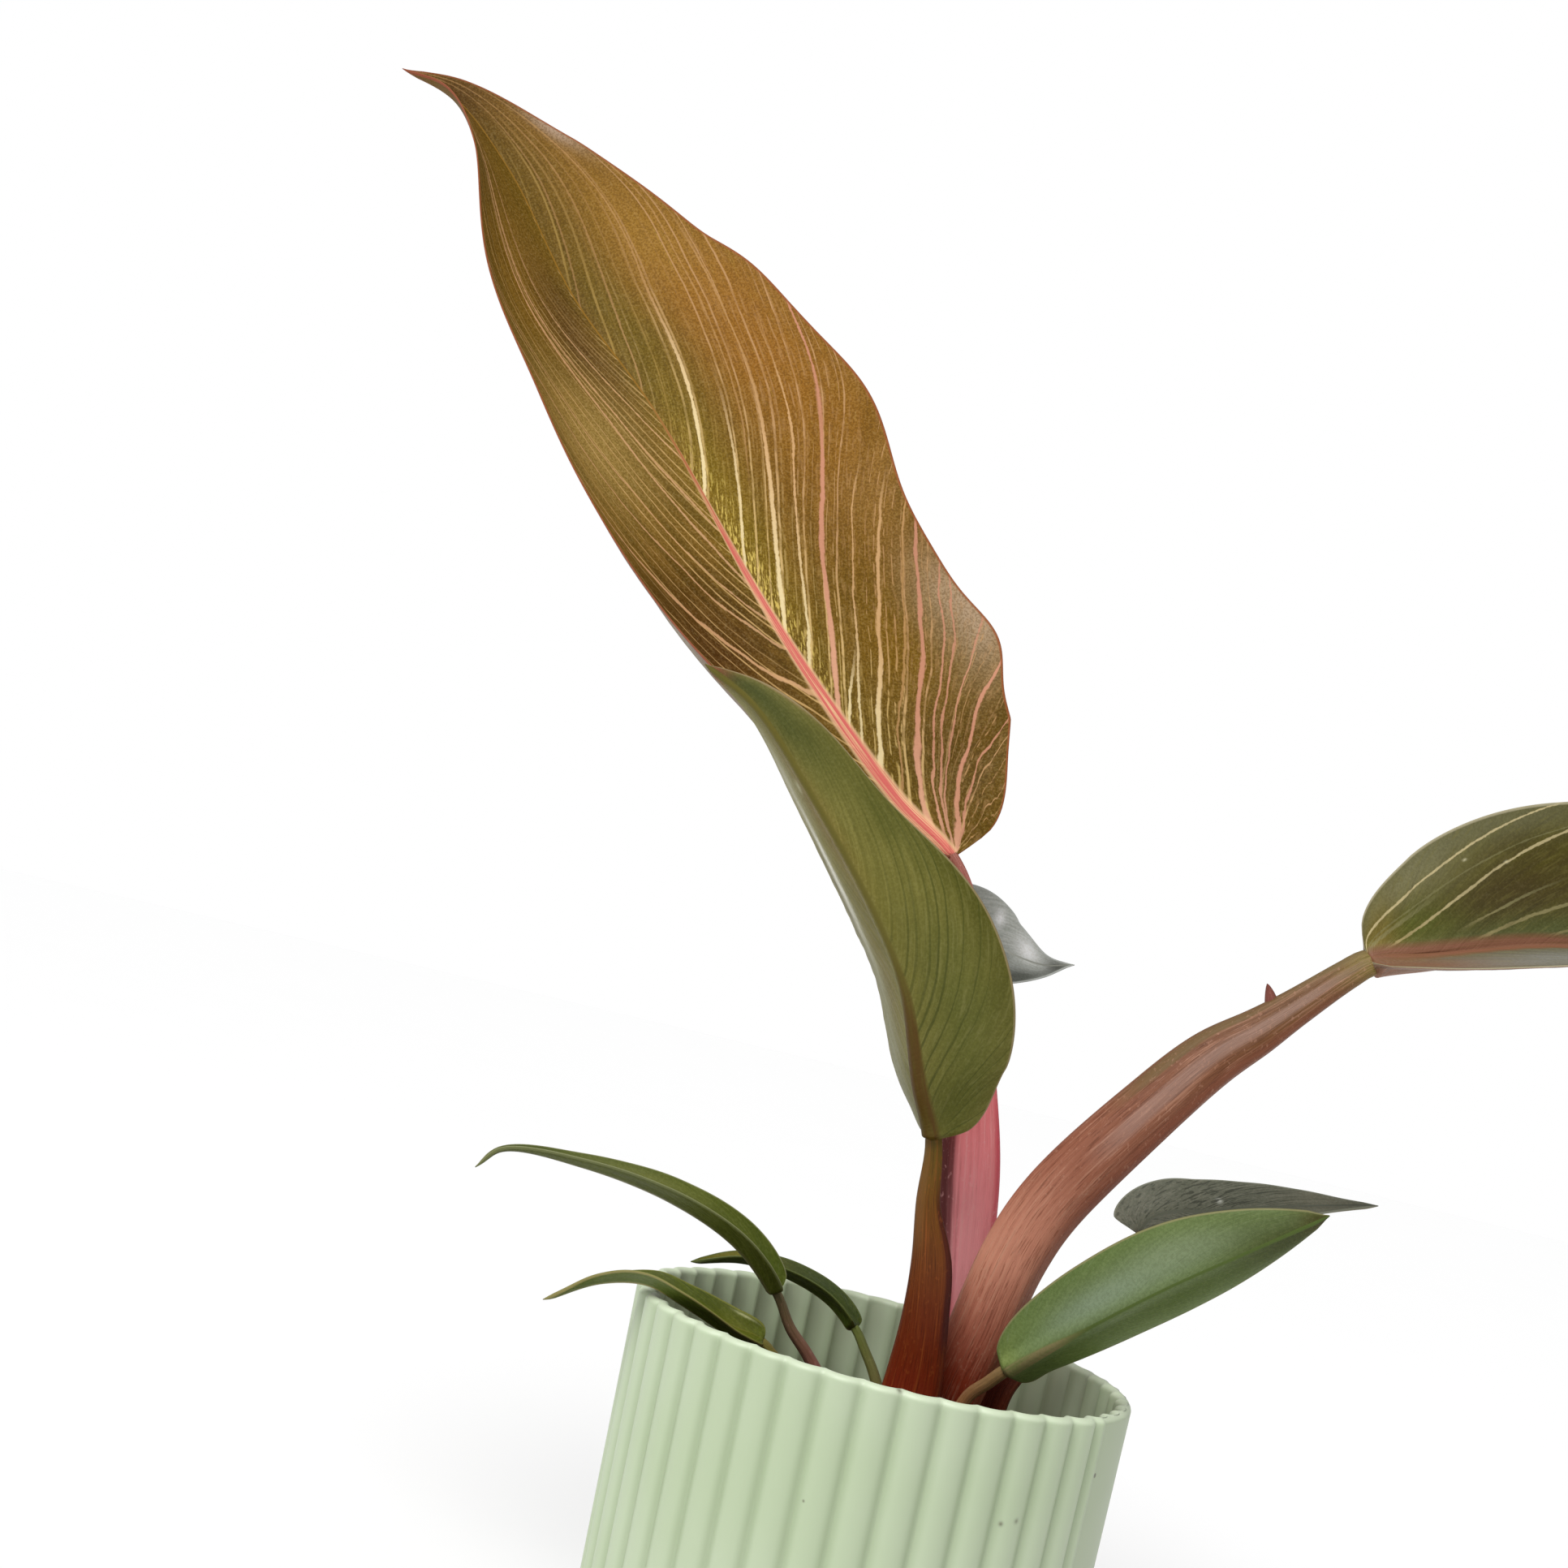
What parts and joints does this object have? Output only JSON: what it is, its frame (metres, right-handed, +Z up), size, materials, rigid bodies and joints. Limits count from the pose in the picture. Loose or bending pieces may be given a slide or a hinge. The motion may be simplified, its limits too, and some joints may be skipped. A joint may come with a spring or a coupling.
{
  "type": "potted philodendron",
  "caption": "Young aroid house plant with a tall veined bronze leaf, arching side leaves and small lower leaves, standing in a reeded round pot.",
  "frame": {"origin": "centre of the pot's flat underside, on the surface that it stands on", "axes": "+Z up along the pot's axis, -Y towards the viewer of the picture, +X to the viewer's right"},
  "size_m": [0.4003, 0.0998, 0.3666],
  "materials": {
    "pot": "satin",
    "potting_mix": "matte",
    "stem": "matte",
    "stalk_tall": "satin",
    "blade_tall": "satin",
    "stalk_front": "satin",
    "blade_front": "satin",
    "stalk_side": "satin",
    "blade_side": "satin",
    "stalk_back": "satin",
    "blade_back": "satin",
    "stalk_low_right": "satin",
    "blade_low_right": "satin",
    "stalk_near_right": "satin",
    "blade_near_right": "satin",
    "stalk_long_left": "satin",
    "blade_long_left": "satin",
    "stalk_rim_left": "satin",
    "blade_rim_left": "satin",
    "stalk_rim_back": "satin",
    "blade_rim_back": "satin"
  },
  "bodies": {
    "root": {"pot": "pot", "potting_mix": "potting_mix", "stem": "stem", "stalk_tall": "stalk_tall", "blade_tall": "blade_tall", "stalk_front": "stalk_front", "blade_front": "blade_front", "stalk_side": "stalk_side", "blade_side": "blade_side", "stalk_back": "stalk_back", "blade_back": "blade_back", "stalk_low_right": "stalk_low_right", "blade_low_right": "blade_low_right", "stalk_near_right": "stalk_near_right", "blade_near_right": "blade_near_right", "stalk_long_left": "stalk_long_left", "blade_long_left": "blade_long_left", "stalk_rim_left": "stalk_rim_left", "blade_rim_left": "blade_rim_left", "stalk_rim_back": "stalk_rim_back", "blade_rim_back": "blade_rim_back"}
  },
  "joints": []
}
